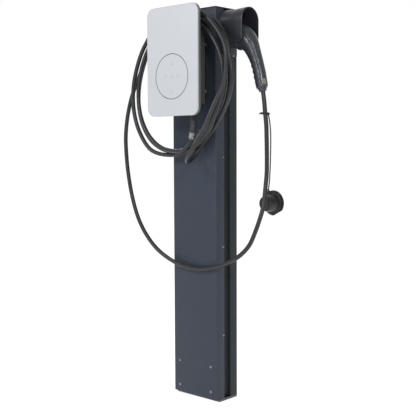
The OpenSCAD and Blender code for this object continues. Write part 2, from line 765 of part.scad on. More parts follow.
module strain_nut() {
    last = raised(handle_line)[len(handle_line) - 1];
    color("#17181a") translate([last[0], 0, last[2]]) rotate([0, nut_tilt, 0]) difference() {
        cylinder(r1 = 15, r2 = 11.5, h = nut_len, $fn = 48);
        translate([0, 0, -1]) cylinder(r = cable_r + bore_gap, h = nut_len + 2, $fn = 40);
    }
}

// a plain pale label on the outer side of the handle
module handle_label() {
    color("#b9b8a8") translate([260.2, 0, 1050 + lift]) rotate([0, -6, 0]) translate([0.3, -4.5, -9])
        cube([0.8, 9, 18]);
}

// ---- dust cap ----
module tie_ring() {
    peg_x = pivot[0] - ring_x;
    color("#141517") translate([ring_x, 0, pivot[2] + lift]) difference() {
        union() {
            translate([0, 0, -2.5]) cylinder(r = 9.6, h = 5, $fn = 48);
            translate([peg_x, 0, 0]) rotate([-90, 0, 0]) cylinder(r = pivot_r, h = 16, $fn = 32);
            translate([peg_x, 15.2, 0]) rotate([-90, 0, 0]) cylinder(r = 3.2, h = 1.6, $fn = 32);
            translate([0, 0, -1.5]) linear_extrude(3) polygon([[-4, -8], [-9, -2], [-14, -10.5]]);
        }
        translate([0, 0, -4]) cylinder(r = cable_r + 0.4, h = 8, $fn = 48);
    }
}

// the strap's eye turns on the ring's peg
module cap_strap() {
    line = smooth(raised(strap_route), 1);
    eye_y = pivot[1] - 2;
    color("#141517") difference() {
        union() {
            tube(line, [for (p = line) strap_r], 8);
            translate([pivot[0], eye_y, pivot[2] + lift]) rotate([-90, 0, 0]) cylinder(r = 4.6, h = 4, $fn = 48);
        }
        translate([pivot[0], eye_y - 5, pivot[2] + lift]) rotate([-90, 0, 0])
            cylinder(r = pivot_r + pivot_gap, h = 14, $fn = 32);
    }
}

// the cup's own place: its mouth at the origin, facing +Y, and its lug towards +Z
module at_cup() {
    translate(cup_at + [0, 0, lift]) rotate([0, cup_turn, 0]) children();
}

// a cup that goes over the plug, with a flange round its mouth cut flat opposite its lug
module cap_cup() {
    color("#17181a") at_cup() difference() {
        union() {
            translate([0, -cup_depth, 0]) rotate([-90, 0, 0]) rotate_extrude($fn = 96) polygon([
                [0, 0], [cup_end_r - 4, 0], [cup_end_r, 3], [cup_end_r + 3, 9], [cup_r, 24],
                [cup_r, cup_depth - 4], [flange_r, cup_depth - 4], [flange_r, cup_depth], [0, cup_depth]]);
            translate([-6, lug_y, cup_end_r + 4]) cube([12, 6, 22]);
        }
        translate([0, 4 - cup_depth, 0]) rotate([-90, 0, 0]) rotate_extrude($fn = 96) polygon([
            [0, 0], [cup_end_r - 4, 0], [cup_end_r, 6], [cup_r - 3, 21], [cup_r - 3, 60], [0, 60]]);
        translate([-50, -cup_depth - 1, -60]) cube([100, cup_depth + 2, 60 - flange_cut]);
        translate([0, 10, rivet_up]) rotate([90, 0, 0]) cylinder(r = 1.6, h = 30, $fn = 24);
    }
}

module strap_rivet() {
    color("#3a3c3e") at_cup() translate([0, lug_y + 3, rivet_up]) rotate([90, 0, 0]) {
        translate([0, 0, -4]) cylinder(r = 1.5, h = 8, $fn = 24);
        for (z = [-4.2, 3.1]) translate([0, 0, z]) cylinder(r = 2.8, h = 1.1, $fn = 24);
    }
}

base_plate();
rear_profile();
front_cover();
top_cap();
foot_bracket();
foot_screws();
cover_clips();
side_screws();
mounting_rail();
supply_terminals();
circuit_breaker();
earth_stud();
charger_lead();
lead_grommet();
charger_bracket();
bracket_screws();
rear_housing();
panel_frame();
panel_seal();
front_panel();
status_ring();
status_icons();
status_board();
power_board();
contactor();
current_sensor();
output_terminals();
frame_screws();
gland_body();
gland_locknut();
cable_sleeve();
sleeve_collar();
cable_lead();
cable_coil();
cable_bight();
cable_loop();
holster_plate();
holster_hood();
holster_socket();
holster_screws();
handle_left();
handle_right();
plug_shroud();
plug_insert();
plug_contacts();
plug_seal();
handle_screws();
strain_nut();
handle_label();
cable_drop();
tie_ring();
cap_cup();
cap_strap();
strap_rivet();
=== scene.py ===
import math

import bpy
import numpy as np
from mathutils import Matrix, Vector


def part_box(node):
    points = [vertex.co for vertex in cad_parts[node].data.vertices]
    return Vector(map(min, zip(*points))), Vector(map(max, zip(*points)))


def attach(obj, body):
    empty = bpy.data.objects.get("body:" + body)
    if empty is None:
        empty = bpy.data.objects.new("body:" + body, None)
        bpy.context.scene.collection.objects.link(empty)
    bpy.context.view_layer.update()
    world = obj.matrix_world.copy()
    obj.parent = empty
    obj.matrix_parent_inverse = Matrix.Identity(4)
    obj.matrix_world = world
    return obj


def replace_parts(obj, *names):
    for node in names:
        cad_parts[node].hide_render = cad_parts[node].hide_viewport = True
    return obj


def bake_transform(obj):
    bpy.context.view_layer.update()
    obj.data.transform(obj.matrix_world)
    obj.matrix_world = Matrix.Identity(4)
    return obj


# An ev charging post. Lengths are in metres, +Z is up, -Y is the charger's front and +X is the
# holster's side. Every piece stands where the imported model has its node.
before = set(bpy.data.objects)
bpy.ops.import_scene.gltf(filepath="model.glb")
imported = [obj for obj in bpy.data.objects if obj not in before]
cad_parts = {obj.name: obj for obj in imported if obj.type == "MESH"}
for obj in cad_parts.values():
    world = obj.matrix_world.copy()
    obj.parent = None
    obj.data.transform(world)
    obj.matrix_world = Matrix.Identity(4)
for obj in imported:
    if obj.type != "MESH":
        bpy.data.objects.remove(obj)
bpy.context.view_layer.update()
scene = bpy.context.scene
MM = 0.001

# ---- the post's own sizes ----
SHEET = 2 * MM
BEND_IN = 0.8 * MM
cover_lo, cover_hi = (np.array(c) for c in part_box("front_cover"))
rear_lo, rear_hi = (np.array(c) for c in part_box("rear_profile"))
panel_lo, panel_hi = (np.array(c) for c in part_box("front_panel"))
band_lo, band_hi = (np.array(c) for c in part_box("panel_frame"))
hood_lo, hood_hi = (np.array(c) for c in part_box("holster_hood"))
plate_lo, plate_hi = (np.array(c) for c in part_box("holster_plate"))
gland_lo, gland_hi = (np.array(c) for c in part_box("gland_body"))
HALF_W = cover_hi[0]
GROOVE_X = HALF_W - 13 * MM
SIDE_SCREW_Z = [(223 + 296.5 * i) * MM for i in range(4)]
FOOT_SCREW_X = 71 * MM
FOOT_SCREW_Z = [33 * MM, 118 * MM]


# ---- colours and shared node groups ----
def shade(code):
    """Linear colour of a six-digit hexadecimal code."""
    parts = np.array([int(code[k:k + 2], 16) for k in (0, 2, 4)]) / 255
    linear = np.where(parts < 0.04045, parts / 12.92, ((parts + 0.055) / 1.055) ** 2.4)
    return (*linear.tolist(), 1.0)


def new_group(name, inputs, outputs):
    """An empty node group with named sockets, and its input and output nodes."""
    group = bpy.data.node_groups.new(name, "ShaderNodeTree")
    for label, kind, value in inputs:
        socket = group.interface.new_socket(name=label, in_out="INPUT", socket_type=kind)
        if value is not None:
            socket.default_value = value
    for label, kind in outputs:
        group.interface.new_socket(name=label, in_out="OUTPUT", socket_type=kind)
    return group, group.nodes.new("NodeGroupInput"), group.nodes.new("NodeGroupOutput")


def add(tree, kind, links=(), **values):
    """A node with its named inputs set or linked. A key that is no input is a property."""
    node = tree.nodes.new(kind)
    for key, value in values.items():
        if hasattr(node, key):
            setattr(node, key, value)
    for key, value in links:
        if isinstance(value, bpy.types.NodeSocket):
            tree.links.new(value, node.inputs[key])
        else:
            node.inputs[key].default_value = value
    return node


def object_noise(tree, scale, detail=3.0, stretch=(1, 1, 1)):
    """Noise over the object's own coordinates, as a value from 0 to 1."""
    place = add(tree, "ShaderNodeTexCoord")
    mapped = add(tree, "ShaderNodeMapping", [("Vector", place.outputs["Object"]), ("Scale", stretch)])
    noise = add(tree, "ShaderNodeTexNoise", [
        ("Vector", mapped.outputs[0]), ("Scale", scale), ("Detail", detail)])
    return noise.outputs[0]


def spread(tree, value, low, high, to_low, to_high):
    """A value's range from low to high, carried to another range and held there."""
    links = [("Value", value), ("From Min", low), ("From Max", high), ("To Min", to_low), ("To Max", to_high)]
    return add(tree, "ShaderNodeMapRange", links).outputs[0]


def product(tree, a, b):
    """Two values multiplied."""
    return add(tree, "ShaderNodeMath", [(0, a), (1, b)], operation="MULTIPLY").outputs[0]


def blended(tree, factor, a, b):
    """Colour a turning to colour b as factor goes from 0 to 1."""
    node = add(tree, "ShaderNodeMix", data_type="RGBA")
    for socket, value in zip([s for s in node.inputs if s.enabled], (factor, a, b)):
        if isinstance(value, bpy.types.NodeSocket):
            tree.links.new(value, socket)
        else:
            socket.default_value = value
    return next(s for s in node.outputs if s.enabled)


def tone_group():
    """Broad, soft changes of a colour's value, as paint and moulded plastic have."""
    group, into, out = new_group("Tone", [
        ("Color", "NodeSocketColor", (0.5, 0.5, 0.5, 1)),
        ("Variation", "NodeSocketFloat", 0.1),
        ("Scale", "NodeSocketFloat", 12.0),
    ], [("Color", "NodeSocketColor")])
    broad = object_noise(group, into.outputs["Scale"])
    swing = add(group, "ShaderNodeMath", [(0, broad), (1, 0.5)], operation="SUBTRACT").outputs[0]
    change = product(group, swing, into.outputs["Variation"])
    value = add(group, "ShaderNodeMath", [(0, change), (1, 1.0)], operation="ADD").outputs[0]
    tinted = add(group, "ShaderNodeHueSaturation", [("Value", value), ("Color", into.outputs["Color"])])
    group.links.new(tinted.outputs[0], out.inputs["Color"])
    return group


def edge_group():
    """A paler colour on convex edges, broken up by noise."""
    group, into, out = new_group("Worn edges", [
        ("Color", "NodeSocketColor", (0.5, 0.5, 0.5, 1)),
        ("Edge Color", "NodeSocketColor", (0.7, 0.7, 0.7, 1)),
        ("Amount", "NodeSocketFloat", 0.3),
    ], [("Color", "NodeSocketColor"), ("Mask", "NodeSocketFloat")])
    shape = add(group, "ShaderNodeNewGeometry")
    convex = spread(group, shape.outputs["Pointiness"], 0.53, 0.62, 0.0, 1.0)
    broken = spread(group, object_noise(group, 260.0), 0.35, 0.65, 0.2, 1.0)
    mask = product(group, product(group, convex, broken), into.outputs["Amount"])
    color = blended(group, mask, into.outputs["Color"], into.outputs["Edge Color"])
    group.links.new(color, out.inputs["Color"])
    group.links.new(mask, out.inputs["Mask"])
    return group


def dust_group():
    """Pale, rough dust on faces that look upwards."""
    group, into, out = new_group("Settled dust", [
        ("Color", "NodeSocketColor", (0.5, 0.5, 0.5, 1)),
        ("Roughness", "NodeSocketFloat", 0.5),
        ("Dust Color", "NodeSocketColor", shade("a7a49c")),
        ("Amount", "NodeSocketFloat", 0.2),
    ], [("Color", "NodeSocketColor"), ("Roughness", "NodeSocketFloat")])
    shape = add(group, "ShaderNodeNewGeometry")
    axes = add(group, "ShaderNodeSeparateXYZ", [("Vector", shape.outputs["Normal"])])
    upward = spread(group, axes.outputs["Z"], 0.35, 1.0, 0.0, 1.0)
    patchy = spread(group, object_noise(group, 45.0, 6.0), 0.4, 0.7, 0.1, 1.0)
    mask = product(group, product(group, upward, patchy), into.outputs["Amount"])
    color = blended(group, mask, into.outputs["Color"], into.outputs["Dust Color"])
    lifted = product(group, mask, 0.5)
    rough = add(group, "ShaderNodeMath", [(0, into.outputs["Roughness"]), (1, lifted)], operation="ADD")
    rough.use_clamp = True
    group.links.new(color, out.inputs["Color"])
    group.links.new(rough.outputs[0], out.inputs["Roughness"])
    return group


def grain_group():
    """A fine surface height from two sizes of noise, stretched where the finish is brushed."""
    group, into, out = new_group("Grain", [
        ("Scale", "NodeSocketFloat", 900.0),
        ("Stretch", "NodeSocketVector", (1, 1, 1)),
    ], [("Height", "NodeSocketFloat")])
    place = add(group, "ShaderNodeTexCoord")
    mapped = add(group, "ShaderNodeMapping",
                 [("Vector", place.outputs["Object"]), ("Scale", into.outputs["Stretch"])])
    fine = add(group, "ShaderNodeTexNoise",
               [("Vector", mapped.outputs[0]), ("Scale", into.outputs["Scale"]), ("Detail", 2.0)])
    cells = add(group, "ShaderNodeTexVoronoi",
                [("Vector", mapped.outputs[0]), ("Scale", into.outputs["Scale"])])
    mixed = add(group, "ShaderNodeMath", [
        (0, fine.outputs[0]), (1, cells.outputs["Distance"])], operation="ADD")
    group.links.new(mixed.outputs[0], out.inputs["Height"])
    return group


TONE = tone_group()
EDGES = edge_group()
DUST = dust_group()
GRAIN = grain_group()


def use(tree, group, links):
    """A group's node in a material, with its sockets set or linked."""
    node = tree.nodes.new("ShaderNodeGroup")
    node.node_tree = group
    for key, value in links:
        if isinstance(value, bpy.types.NodeSocket):
            tree.links.new(value, node.inputs[key])
        else:
            node.inputs[key].default_value = value
    return node


def finish(name, code, rough, metal=0.0, coat=0.0, tone=0.25, tone_scale=9.0, wear=0.25, edge="8d9094",
           dust=0.12, bump=0.25, grain=900.0, stretch=(1, 1, 1), shine=0.5, pattern=None):
    """A material: a toned colour with worn edges and dust over it, and fine grain as its bump."""
    material = bpy.data.materials.new(name)
    material.use_nodes = True
    tree = material.node_tree
    skin = tree.nodes["Principled BSDF"]
    base = pattern(tree) if pattern else shade(code)
    toned = use(tree, TONE, [("Color", base), ("Variation", tone), ("Scale", tone_scale)])
    worn = use(tree, EDGES, [("Color", toned.outputs[0]), ("Edge Color", shade(edge)), ("Amount", wear)])
    patches = object_noise(tree, tone_scale * 4, 5.0)
    uneven = spread(tree, patches, 0.3, 0.7, rough * 0.88, min(1.0, rough * 1.12))
    dusty = use(tree, DUST, [("Color", worn.outputs["Color"]), ("Roughness", uneven), ("Amount", dust)])
    height = use(tree, GRAIN, [("Scale", grain), ("Stretch", stretch)])
    bumped = add(tree, "ShaderNodeBump", [
        ("Height", height.outputs[0]), ("Strength", bump), ("Distance", 0.2 * MM)])
    tree.links.new(dusty.outputs["Color"], skin.inputs["Base Color"])
    tree.links.new(dusty.outputs["Roughness"], skin.inputs["Roughness"])
    tree.links.new(bumped.outputs[0], skin.inputs["Normal"])
    skin.inputs["Metallic"].default_value = metal
    skin.inputs["Specular IOR Level"].default_value = shine
    skin.inputs["Coat Weight"].default_value = coat
    skin.inputs["Coat Roughness"].default_value = 0.25
    return material


def copper_traces(tree):
    """Green lacquer with rows of paler tracks, for the circuit boards."""
    place = add(tree, "ShaderNodeTexCoord")
    turned_in = add(tree, "ShaderNodeMapping", [
        ("Vector", place.outputs["Object"]), ("Rotation", (math.pi / 2, 0, 0))])
    tracks = add(tree, "ShaderNodeTexBrick", [
        ("Vector", turned_in.outputs[0]), ("Scale", 60.0),
        ("Color1", shade("1d5537")), ("Color2", shade("23653f")),
        ("Mortar", shade("3c8a57")), ("Mortar Size", 0.012), ("Brick Width", 0.9), ("Row Height", 0.22)])
    return tracks.outputs["Color"]


# colour, roughness, then whatever differs from a plain finish
FINISHES = {
    "front_paint": ("363c47", 0.42, dict(tone=0.22, tone_scale=2.5, wear=0.5, edge="a8b2c0", bump=0.2,
        grain=1500, shine=0.2)),
    "rear_paint": ("2f3335", 0.45, dict(tone=0.2, tone_scale=2.5, wear=0.5, edge="98a0a6", bump=0.2,
        grain=1500, shine=0.15)),
    "base_paint": ("2f3236", 0.5, dict(wear=0.4, bump=0.3, grain=700)),
    "zinc_steel": ("8b8f93", 0.38, dict(metal=0.9, tone=0.5, tone_scale=60, bump=0.15, grain=300)),
    "panel_plastic": ("babcc0", 0.36, dict(tone=0.05, tone_scale=4, wear=0.15, edge="f2f3f5", dust=0.05,
        bump=0.12, grain=2200)),
    "frame_plastic": ("5f6361", 0.42, dict(tone=0.12, wear=0.2, edge="d0d3d1", dust=0.1, bump=0.15,
        grain=1800)),
    "housing_plastic": ("1d1e20", 0.5, dict(wear=0.2, bump=0.3, grain=1100)),
    "holster_plastic": ("2b2c31", 0.36, dict(tone=0.5, tone_scale=30, wear=0.35, edge="5c5e64", bump=0.45,
        grain=800)),
    "handle_plastic": ("34373e", 0.3, dict(coat=0.45, tone=0.3, wear=0.3, edge="64676e", bump=0.2,
        grain=1300)),
    "seal_rubber": ("141516", 0.7, dict(bump=0.4, grain=1000)),
    "sleeve_rubber": ("34363a", 0.4, dict(tone=0.2, wear=0.6, edge="8a8d92", bump=0.2, grain=1000)),
    "cable_rubber": ("212225", 0.4, dict(tone=0.3, tone_scale=25, wear=0.0, dust=0.1, bump=0.2,
        grain=1200)),
    "cap_rubber": ("17181a", 0.45, dict(tone=0.3, wear=0.3, edge="4b4d52", bump=0.3, grain=900)),
    "brass_metal": ("c8a048", 0.28, dict(metal=1.0, bump=0.1, grain=500)),
    "board_green": ("1f5a3a", 0.35, dict(bump=0.1, grain=400, pattern=copper_traces)),
    "device_plastic": ("d2d0c6", 0.5, dict(tone=0.12, dust=0.1, bump=0.2, grain=1200)),
    "terminal_plastic": ("8f9794", 0.5, dict(bump=0.2, grain=1000)),
    "sensor_plastic": ("2b3f6b", 0.45, dict(bump=0.2, grain=1000)),
    "ring_lens": ("4e5156", 0.25, dict(coat=0.5, tone=0.1, wear=0.0, bump=0.05, grain=2000)),
    "icon_lens": ("a9acb1", 0.3, dict(coat=0.3, tone=0.1, wear=0.0, bump=0.05, grain=2000)),
    "label_film": ("7f8072", 0.4, dict(coat=0.3, tone=0.2, tone_scale=60, wear=0.1, bump=0.15, grain=1500)),
}
LOOKS = {name: finish(name, code, rough, **extra) for name, (code, rough, extra) in FINISHES.items()}
KEPT = {
    "base_plate": "base_paint", "foot_bracket": "zinc_steel", "cover_clips": "zinc_steel",
    "mounting_rail": "zinc_steel", "supply_terminals": "terminal_plastic",
    "circuit_breaker": "device_plastic",
    "earth_stud": "brass_metal", "charger_lead": "cable_rubber", "lead_grommet": "seal_rubber",
    "charger_bracket": "housing_plastic", "bracket_screws": "zinc_steel", "rear_housing": "housing_plastic",
    "panel_seal": "seal_rubber", "status_board": "board_green", "power_board": "board_green",
    "contactor": "device_plastic", "current_sensor": "sensor_plastic", "output_terminals": "terminal_plastic",
    "frame_screws": "zinc_steel", "gland_body": "housing_plastic", "gland_locknut": "zinc_steel",
    "holster_socket": "holster_plastic", "holster_screws": "zinc_steel", "plug_shroud": "handle_plastic",
    "plug_insert": "handle_plastic", "plug_contacts": "brass_metal", "plug_seal": "seal_rubber",
    "handle_screws": "zinc_steel",
}


# ---- surfaces ----
def surface(name, grid, look, body, caps="fan", wrap=False, angle=40):
    """A mesh through grid[i, j], where j runs round a closed ring and i runs from ring to ring.

    The end rings are closed by a fan to their middle ("fan") or by one flat face ("flat"), or
    the last ring joins the first (wrap). Body None leaves the piece attached to no body.
    """
    rings, sides = grid.shape[:2]
    verts = grid.reshape(-1, 3)
    a, b = np.meshgrid(np.arange(rings if wrap else rings - 1), np.arange(sides), indexing="ij")
    a2, b2 = (a + 1) % rings, (b + 1) % sides
    quads = np.stack([a * sides + b, a * sides + b2, a2 * sides + b2, a2 * sides + b], -1)
    faces = quads.reshape(-1, 4).tolist()
    first = np.arange(sides)
    last = first + (rings - 1) * sides
    if not wrap and caps == "flat":
        faces += [first[::-1].tolist(), last.tolist()]
    elif not wrap:
        verts = np.vstack([verts, grid[0].mean(0), grid[-1].mean(0)])
        middle = rings * sides
        faces += [[middle, int(q), int(p)] for p, q in zip(first, np.roll(first, -1))]
        faces += [[middle + 1, int(p), int(q)] for p, q in zip(last, np.roll(last, -1))]
    mesh = bpy.data.meshes.new(name)
    mesh.from_pydata(verts.tolist(), [], faces)
    outward(mesh)
    mesh.shade_smooth()
    mesh.set_sharp_from_angle(angle=math.radians(angle))
    mesh.materials.append(LOOKS[look])
    piece = bpy.data.objects.new(name, mesh)
    scene.collection.objects.link(piece)
    if body:
        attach(piece, body)
    return piece


def outward(mesh):
    """Turns a closed mesh's faces outwards, from the sign of its volume."""
    mesh.calc_loop_triangles()
    corners = np.empty(len(mesh.vertices) * 3)
    mesh.vertices.foreach_get("co", corners)
    corners = corners.reshape(-1, 3)
    triangles = np.empty(len(mesh.loop_triangles) * 3, dtype=int)
    mesh.loop_triangles.foreach_get("vertices", triangles)
    p, q, r = (corners[triangles.reshape(-1, 3)[:, k]] for k in range(3))
    if np.einsum("ij,ij->i", p, np.cross(q, r)).sum() < 0:
        mesh.flip_normals()


def rounded_line(corners, radii, closed=True, steps=6):
    """A polyline with an arc at each corner: centre p + (u + v) r / (|u + v| sin h), where u and v
    point along the two sides and h is half the angle between them."""
    corners = np.array(corners, float)
    count = len(corners)
    radii = np.broadcast_to(radii, count)
    turn = np.linspace(0, 1, steps + 1)[:, None]
    line = []
    for k in range(count):
        p = corners[k]
        if radii[k] <= 0 or (not closed and k in (0, count - 1)):
            line.append(p[None])
            continue
        u = corners[k - 1] - p
        v = corners[(k + 1) % count] - p
        u, v = u / np.linalg.norm(u), v / np.linalg.norm(v)
        half = math.acos(np.clip(u @ v, -1, 1)) / 2
        centre = p + (u + v) / np.linalg.norm(u + v) * radii[k] / math.sin(half)
        reach = radii[k] / math.tan(half)
        arm0, arm1 = p + u * reach - centre, p + v * reach - centre
        sweep = math.pi - 2 * half
        swung = np.sin((1 - turn) * sweep) * arm0 + np.sin(turn * sweep) * arm1
        line.append(centre + swung / math.sin(sweep))
    return np.vstack(line)


def offset(line, by, closed=True):
    """A line moved to its left by a distance, with mitred corners: p + by (m + n) / (1 + m.n)."""
    step = np.roll(line, -1, 0) - line
    step /= np.maximum(np.linalg.norm(step, axis=1), 1e-12)[:, None]
    after = np.stack([-step[:, 1], step[:, 0]], 1)
    before = np.roll(after, 1, 0)
    if not closed:
        before[0], after[-1] = after[0], before[-1]
    return line + by * (before + after) / (1 + np.einsum("ij,ij->i", before, after))[:, None]


def placed(flat, height, plane):
    """Flat points set in space: plane "XY", "XZ" or "YZ" holds them, and height is the third."""
    third = np.full(len(flat), height)
    order = {"XY": (flat[:, 0], flat[:, 1], third), "XZ": (flat[:, 0], third, flat[:, 1]),
             "YZ": (third, flat[:, 0], flat[:, 1])}
    return np.stack(order[plane], 1)


def shell(name, outline, rows, plane, look, body, angle=40):
    """Rings of one closed outline: each row is (how far it is inset, its height across the plane)."""
    area = np.sum(outline[:, 0] * np.roll(outline[:, 1], -1) - outline[:, 1] * np.roll(outline[:, 0], -1))
    ccw = outline if area > 0 else outline[::-1]
    grid = np.stack([placed(offset(ccw, inset), height, plane) for inset, height in rows])
    return surface(name, grid, look, body, caps="flat", angle=angle)


def rim(radius, height, inward, steps=5):
    """Rows of a quarter-round edge that ends at a height: inset r (1 - cos t), height h +- r (1 - sin t).
    Inward +1 runs from the face to the side, and -1 from the side to the face."""
    turn = np.linspace(math.pi / 2, 0, steps)
    rows = [(radius * (1 - math.cos(t)), height + inward * radius * (1 - math.sin(t))) for t in turn]
    return rows if inward > 0 else rows[::-1]


def slab(name, outline, low, high, edge, plane, look, body):
    """An outline given thickness, both its faces with rounded edges."""
    return shell(name, outline, rim(edge, low, 1) + rim(edge, high, -1), plane, look, body)


def bent_sheet(corners, inner_left):
    """Outline of a folded sheet: its outer face along the corners, its inner face a sheet's
    thickness to one side, and every bend with an arc on both faces."""
    corners = np.array(corners, float)
    side = 1 if inner_left else -1
    inner = offset(corners, side * SHEET, closed=False)
    back = corners[1:-1] - corners[:-2]
    on = corners[2:] - corners[1:-1]
    turns = np.r_[0, np.sign(back[:, 0] * on[:, 1] - back[:, 1] * on[:, 0]) * side, 0]
    outer_r = np.where(turns > 0, BEND_IN + SHEET, np.where(turns < 0, BEND_IN, 0.3 * MM))
    inner_r = np.where(turns > 0, BEND_IN, np.where(turns < 0, BEND_IN + SHEET, 0.3 * MM))
    return rounded_line(np.vstack([corners, inner[::-1]]), np.r_[outer_r, inner_r[::-1]])


def smooth_path(knots, steps):
    """Centripetal Catmull-Rom curve through the knots, with some steps from each to the next."""
    knots = np.array(knots, float)
    knots = np.vstack([2 * knots[0] - knots[1], knots, 2 * knots[-1] - knots[-2]])
    share = np.linspace(0, 1, steps, endpoint=False)[:, None]
    line = []
    for a, b, c, d in zip(knots, knots[1:], knots[2:], knots[3:]):
        times = np.cumsum([0] + [math.sqrt(np.linalg.norm(q - p)) for p, q in ((a, b), (b, c), (c, d))])
        t = times[1] + (times[2] - times[1]) * share

        def between(p, q, t0, t1):
            return ((t1 - t) * p + (t - t0) * q) / (t1 - t0)

        ab, bc, cd = between(a, b, *times[:2]), between(b, c, *times[1:3]), between(c, d, *times[2:])
        first, second = between(ab, bc, times[0], times[2]), between(bc, cd, times[1], times[3])
        line.append(between(first, second, *times[1:3]))
    return np.vstack(line + [knots[-2][None]])


def even(line, gap):
    """The same line with its points an even gap apart."""
    along = np.r_[0, np.cumsum(np.linalg.norm(np.diff(line, axis=0), axis=1))]
    places = np.linspace(0, along[-1], max(2, round(along[-1] / gap)) + 1)
    return np.stack([np.interp(places, along, line[:, k]) for k in range(3)], 1)


def carried_axes(line):
    """Heading at each point, and two side directions carried along without twisting."""
    heading = np.gradient(line, axis=0)
    heading /= np.linalg.norm(heading, axis=1)[:, None]
    side = np.empty_like(heading)
    last = np.array([0.0, 1.0, 0.0]) if abs(heading[0, 1]) < 0.9 else np.array([1.0, 0.0, 0.0])
    for k, h in enumerate(heading):
        last = last - (last @ h) * h
        last /= np.linalg.norm(last)
        side[k] = last
    return heading, side, np.cross(heading, side)


def tube_grid(line, radius, sides=20):
    """Rings p + r (cos t s + sin t o) along a line. The radius is one number, one for each ring, or
    a grid of one for each ring and side."""
    heading, side, other = carried_axes(line)
    turn = np.linspace(0, 2 * math.pi, sides, endpoint=False)
    radius = np.asarray(radius, float)
    while radius.ndim < 2:
        radius = radius[..., None] if radius.ndim else np.full((1, 1), float(radius))
    ring = np.cos(turn)[:, None] * side[:, None] + np.sin(turn)[:, None] * other[:, None]
    return line[:, None] + np.broadcast_to(radius, (len(line), sides))[..., None] * ring


def turned_grid(profile, base, axis, sides=64, relief=None):
    """A profile of (radius, height) turned about an axis from a base point. Relief is an optional
    grid of radii to add, one for each profile point and side."""
    profile = np.array(profile, float)
    axis = np.array(axis, float) / np.linalg.norm(axis)
    side = np.cross(axis, (0, 0, 1) if abs(axis[2]) < 0.9 else (0, 1, 0))
    side /= np.linalg.norm(side)
    other = np.cross(axis, side)
    turn = np.linspace(0, 2 * math.pi, sides, endpoint=False)
    ring = np.cos(turn)[:, None] * side + np.sin(turn)[:, None] * other
    radius = profile[:, :1] + (0 if relief is None else relief)
    radius = np.broadcast_to(radius, (len(profile), sides))
    return np.array(base) + profile[:, 1, None, None] * axis + radius[..., None] * ring


def joined(name, grids, look, body, angle=40):
    """Several closed grids as one piece, such as a group of screws."""
    parts = [surface(f"{name}_{k}", grid, look, None, angle=angle) for k, grid in enumerate(grids)]
    with bpy.context.temp_override(active_object=parts[0], selected_editable_objects=parts):
        bpy.ops.object.join()
    parts[0].name = name
    parts[0].data.name = name
    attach(parts[0], body)
    return parts[0]


# ---- camera, light and floor ----
def add_camera():
    """Stands to the right of the front, at about two thirds of the post's height."""
    spot = Vector((1.87406, -2.05414, 0.85335))
    target = Vector((0.01324, 0.0, 0.64318))
    data = bpy.data.cameras.new("camera")
    data.sensor_width = 36
    data.lens = 71.21
    camera = bpy.data.objects.new("camera", data)
    scene.collection.objects.link(camera)
    turn = (target - spot).to_track_quat("-Z", "Y").to_matrix().to_4x4()
    camera.matrix_world = Matrix.Translation(spot) @ turn @ Matrix.Rotation(math.radians(-0.2138), 4, "Z")
    scene.camera = camera


def add_light(name, spot, target, size, watts, tint=(1, 1, 1)):
    """A square area light aimed at a point."""
    data = bpy.data.lights.new(name, "AREA")
    data.size = size
    data.energy = watts
    data.color = tint
    light = bpy.data.objects.new(name, data)
    scene.collection.objects.link(light)
    turn = (Vector(target) - Vector(spot)).to_track_quat("-Z", "Y").to_matrix().to_4x4()
    light.matrix_world = Matrix.Translation(Vector(spot)) @ turn


def add_studio():
    """Soft light from the left, the right and above, and a plain pale floor."""
    world = bpy.data.worlds.new("studio")
    scene.world = world
    world.use_nodes = True
    tree = world.node_tree
    sky = tree.nodes["Background"]
    place = add(tree, "ShaderNodeTexCoord")
    facing = add(tree, "ShaderNodeVectorMath", [(0, place.outputs["Generated"]), (1, (-0.672, 0.741, 0.0))],
                 operation="DOT_PRODUCT")
    glow = spread(tree, facing.outputs["Value"], 0.35, 0.85, 0.34, 1.0)
    tree.links.new(glow, sky.inputs["Strength"])
    sky.inputs["Color"].default_value = (1.0, 1.0, 1.0, 1)
    scene.view_settings.view_transform = "Standard"
    add_light("key", (-1.0, -3.0, 2.6), (0, 0, 0.9), 1.1, 44, (0.96, 0.98, 1.0))
    add_light("strip", (2.2, -1.6, 2.0), (0.15, 0, 1.0), 0.35, 20)
    add_light("front_strip", (0.4, -2.6, 1.9), (0.15, 0, 1.1), 0.25, 10, (0.92, 0.95, 1.0))
    add_light("rim", (-2.2, 1.2, 2.2), (0, 0, 0.9), 0.8, 18)
    floor_mesh = bpy.data.meshes.new("floor")
    reach = 60.0
    corners = [(-reach, -reach, 0), (reach, -reach, 0), (reach, reach, 0), (-reach, reach, 0)]
    floor_mesh.from_pydata(corners, [], [(0, 1, 2, 3)])
    floor = bpy.data.objects.new("floor", floor_mesh)
    scene.collection.objects.link(floor)
    material = bpy.data.materials.new("floor_white")
    material.use_nodes = True
    skin = material.node_tree.nodes["Principled BSDF"]
    skin.inputs["Base Color"].default_value = (0.4, 0.4, 0.4, 1)
    skin.inputs["Roughness"].default_value = 1.0
    skin.inputs["Specular IOR Level"].default_value = 0.0
    skin.inputs["Emission Color"].default_value = (1, 1, 1, 1)
    skin.inputs["Emission Strength"].default_value = 0.86
    floor_mesh.materials.append(material)


# ---- cable ----
CABLE_R = 7 * MM
COIL_MIDDLE = (-20, 1040)
LEAD = [
    (51, -108, 985), (51, -108, 955), (50, -108, 925), (47, -108, 900), (41, -109, 876), (33, -110, 860),
    (22, -111, 848), (8, -112, 839), (-11, -112, 835),
]
